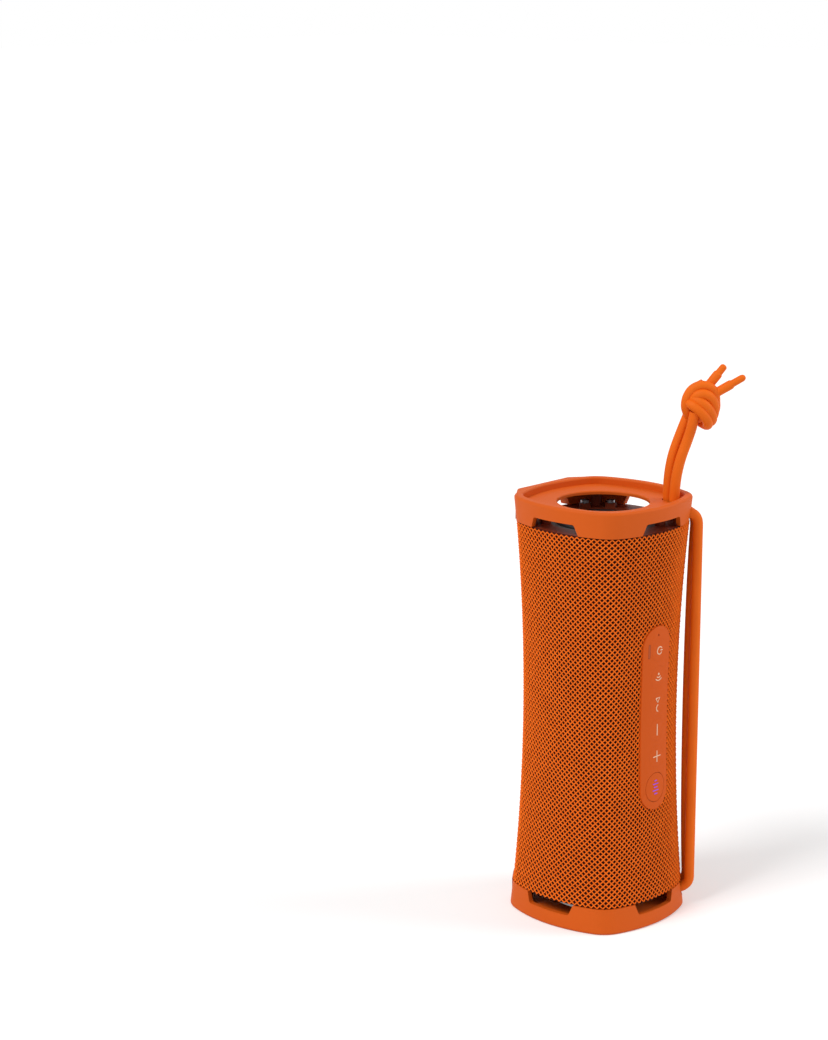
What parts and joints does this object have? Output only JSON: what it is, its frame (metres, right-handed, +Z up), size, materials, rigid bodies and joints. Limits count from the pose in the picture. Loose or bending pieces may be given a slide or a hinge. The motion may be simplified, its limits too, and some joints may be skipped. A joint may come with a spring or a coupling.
{
  "type": "portable bluetooth speaker",
  "caption": "Waisted cylindrical wireless speaker in woven fabric with soft end bumpers, passive radiators, a control strip and a knotted cord strap.",
  "frame": {"origin": "centre of the lower end face, on the surface that the speaker stands on, measured without the strap", "axes": "+Z up along the body from the lower end to the upper end; +X out through the control strip; -Y out through the drivers; the strap runs along the +X +Y corner; the flat side for lying down faces -X"},
  "size_m": [0.0866, 0.0846, 0.2676],
  "materials": {
    "bumper_rubber": "soft matte moulded elastomer",
    "mesh_fabric": "open diamond weave of thick thread",
    "control_rubber": "smooth matte silicone",
    "inner_frame": "matte moulded plastic",
    "screw_steel": "zinc plated",
    "radiator_black": "satin black",
    "black_rubber": "matte rubber",
    "cabinet_plastic": "matte moulded plastic",
    "light_lens": "dark translucent lens",
    "circuit_board": "solder mask",
    "component_black": "moulded black",
    "plated_steel": "nickel plated",
    "cone_paper": "pressed fibre",
    "battery_wrap": "shrink sleeve",
    "strap_cord": "smooth braided cord"
  },
  "bodies": {
    "housing": {"battery_cells": "battery_wrap", "battery_holder": "cabinet_plastic", "board_components": "component_black", "board_screws": "screw_steel", "cabinet_seal": "black_rubber", "control_board": "circuit_board", "control_strip": "control_rubber", "fabric_sleeve": "mesh_fabric", "front_cabinet": "cabinet_plastic", "front_grille": "cabinet_plastic", "joining_screws": "screw_steel", "lower_bumper": "bumper_rubber", "lower_end_frame": "inner_frame", "lower_frame_screws": "screw_steel", "lower_radiator_ring": "radiator_black", "lower_radiator_surround": "black_rubber", "main_board": "circuit_board", "microphone": "component_black", "port_bezel": "cabinet_plastic", "rear_cabinet": "cabinet_plastic", "status_light": "light_lens", "strap_knot": "strap_cord", "strap_stopper": "component_black", "strap_strand_front": "strap_cord", "strap_strand_rear": "strap_cord", "strap_tail_lower": "strap_cord", "strap_tail_upper": "strap_cord", "tact_switches": "component_black", "tweeter_body": "cabinet_plastic", "upper_bumper": "bumper_rubber", "upper_end_frame": "inner_frame", "upper_frame_screws": "screw_steel", "upper_radiator_ring": "radiator_black", "upper_radiator_surround": "black_rubber", "usb_port": "plated_steel", "woofer_basket": "cabinet_plastic", "woofer_magnet": "plated_steel", "woofer_screws": "screw_steel", "woofer_surround": "black_rubber"},
    "power_button": {"power_button": "control_rubber"},
    "pairing_button": {"pairing_button": "control_rubber"},
    "play_button": {"play_button": "control_rubber"},
    "volume_down_button": {"volume_down_button": "control_rubber"},
    "volume_up_button": {"volume_up_button": "control_rubber"},
    "bass_button": {"bass_button": "control_rubber"},
    "upper_radiator": {"upper_radiator_plate": "radiator_black"},
    "lower_radiator": {"lower_radiator_plate": "radiator_black"},
    "woofer_cone": {"woofer_cone": "cone_paper", "voice_coil": "cone_paper"},
    "tweeter_dome": {"tweeter_dome": "cone_paper"},
    "port_cover": {"port_cover": "control_rubber"}
  },
  "joints": [
    {"name": "power_press", "type": "slide", "parent": "housing", "child": "power_button", "axis": [-1, 0, 0], "range_m": [0, 0.0004], "stiffness_N_per_m": 2500},
    {"name": "pairing_press", "type": "slide", "parent": "housing", "child": "pairing_button", "axis": [-1, 0, 0], "range_m": [0, 0.0004], "stiffness_N_per_m": 2500},
    {"name": "play_press", "type": "slide", "parent": "housing", "child": "play_button", "axis": [-1, 0, 0], "range_m": [0, 0.0004], "stiffness_N_per_m": 2500},
    {"name": "volume_down_press", "type": "slide", "parent": "housing", "child": "volume_down_button", "axis": [-1, 0, 0], "range_m": [0, 0.0004], "stiffness_N_per_m": 2500},
    {"name": "volume_up_press", "type": "slide", "parent": "housing", "child": "volume_up_button", "axis": [-1, 0, 0], "range_m": [0, 0.0004], "stiffness_N_per_m": 2500},
    {"name": "bass_press", "type": "slide", "parent": "housing", "child": "bass_button", "axis": [-1, 0, 0], "range_m": [0, 0.0004], "stiffness_N_per_m": 2500},
    {"name": "upper_radiator_slide", "type": "slide", "parent": "housing", "child": "upper_radiator", "axis": [0, 0, 1], "range_m": [-0.0025, 0.0025], "stiffness_N_per_m": 1500, "deforming": ["upper_radiator_surround"]},
    {"name": "lower_radiator_slide", "type": "slide", "parent": "housing", "child": "lower_radiator", "axis": [0, 0, -1], "range_m": [-0.0025, 0.0025], "stiffness_N_per_m": 1500, "deforming": ["lower_radiator_surround"]},
    {"name": "woofer_stroke", "type": "slide", "parent": "housing", "child": "woofer_cone", "axis": [0, -1, 0], "range_m": [-0.002, 0.002], "stiffness_N_per_m": 1500, "deforming": ["woofer_surround"]},
    {"name": "tweeter_stroke", "type": "slide", "parent": "housing", "child": "tweeter_dome", "axis": [0, -1, 0], "range_m": [-0.0002, 0.0002], "stiffness_N_per_m": 3000},
    {"name": "port_cover_hinge", "type": "hinge", "parent": "housing", "child": "port_cover", "pos_m": [0, 0.03554, 0.031], "axis": [-1, 0, 0], "range_deg": [0, 110]}
  ]
}
